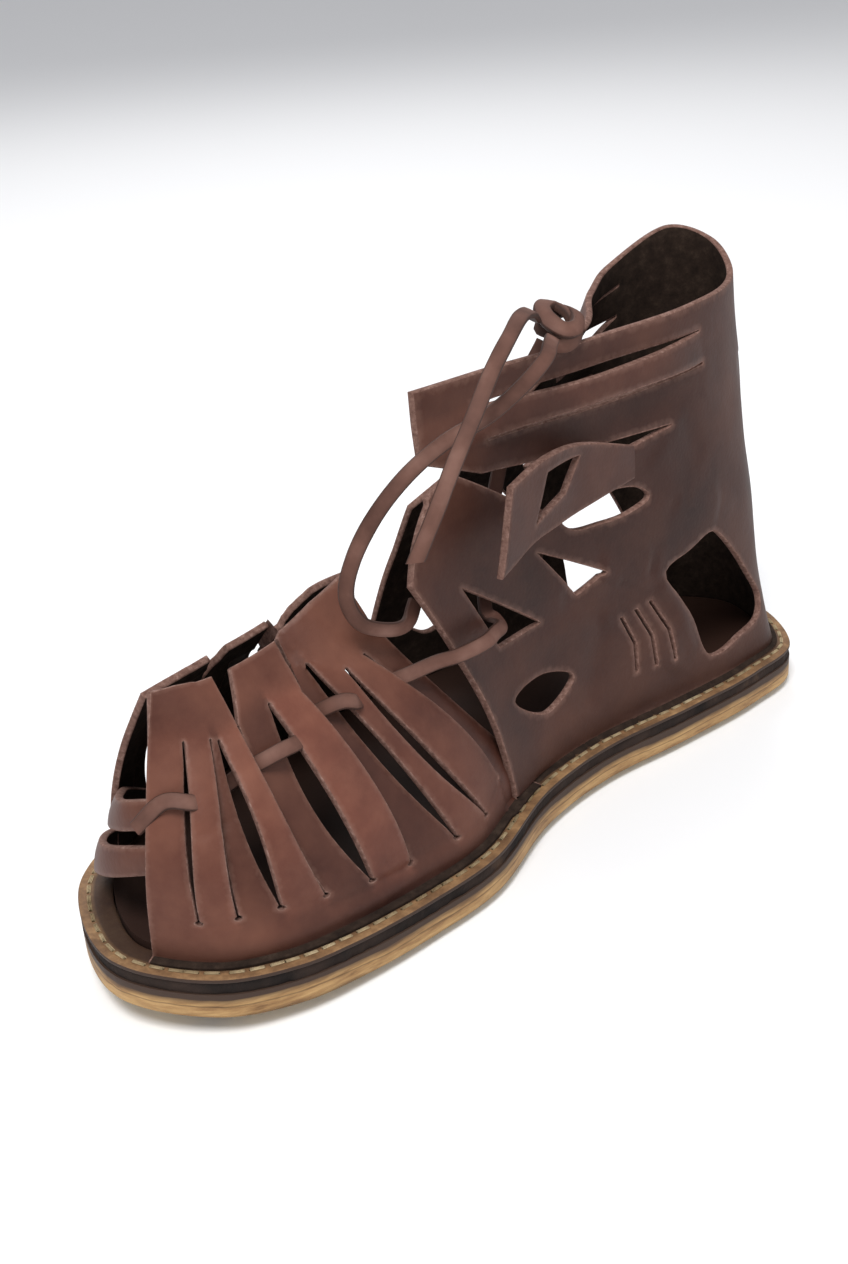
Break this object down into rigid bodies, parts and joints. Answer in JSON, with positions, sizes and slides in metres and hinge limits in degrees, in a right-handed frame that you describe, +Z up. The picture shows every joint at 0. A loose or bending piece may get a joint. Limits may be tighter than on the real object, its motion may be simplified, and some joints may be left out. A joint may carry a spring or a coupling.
{
  "type": "gladiator sandal",
  "caption": "Open-toed right sandal of slit leather straps with an ankle band, laced, on a stacked sole studded with hobnails.",
  "frame": {"origin": "middle of the foot print on the floor plane that the hobnails' crowns stand on", "axes": "+X towards the heel, -X towards the toe, -Y the inner (medial) side, +Y the outer (lateral) side, +Z up"},
  "size_m": [0.281, 0.104, 0.1577],
  "materials": {
    "outsole": "satin",
    "midsole": "matte",
    "welt": "matte",
    "insole": "satin",
    "upper": "satin",
    "lace": "matte",
    "nail": "aged"
  },
  "bodies": {
    "root": {"hobnail_01": "nail", "hobnail_02": "nail", "hobnail_03": "nail", "hobnail_04": "nail", "hobnail_05": "nail", "hobnail_06": "nail", "hobnail_07": "nail", "hobnail_08": "nail", "hobnail_09": "nail", "hobnail_10": "nail", "hobnail_11": "nail", "hobnail_12": "nail", "hobnail_13": "nail", "hobnail_14": "nail", "hobnail_15": "nail", "hobnail_16": "nail", "hobnail_17": "nail", "hobnail_18": "nail", "hobnail_19": "nail", "hobnail_20": "nail", "hobnail_21": "nail", "hobnail_22": "nail", "hobnail_23": "nail", "hobnail_24": "nail", "hobnail_25": "nail", "hobnail_26": "nail", "hobnail_27": "nail", "hobnail_28": "nail", "hobnail_29": "nail", "hobnail_30": "nail", "hobnail_31": "nail", "hobnail_32": "nail", "hobnail_33": "nail", "hobnail_34": "nail", "hobnail_35": "nail", "hobnail_36": "nail", "hobnail_37": "nail", "hobnail_38": "nail", "hobnail_39": "nail", "hobnail_40": "nail", "hobnail_41": "nail", "hobnail_42": "nail", "hobnail_43": "nail", "hobnail_44": "nail", "hobnail_45": "nail", "hobnail_46": "nail", "hobnail_47": "nail", "hobnail_48": "nail", "insole": "insole", "lace": "lace", "lace_end": "lace", "lace_knot": "lace", "lace_loop": "lace", "midsole": "midsole", "outsole": "outsole", "upper": "upper", "welt": "welt"}
  },
  "joints": []
}
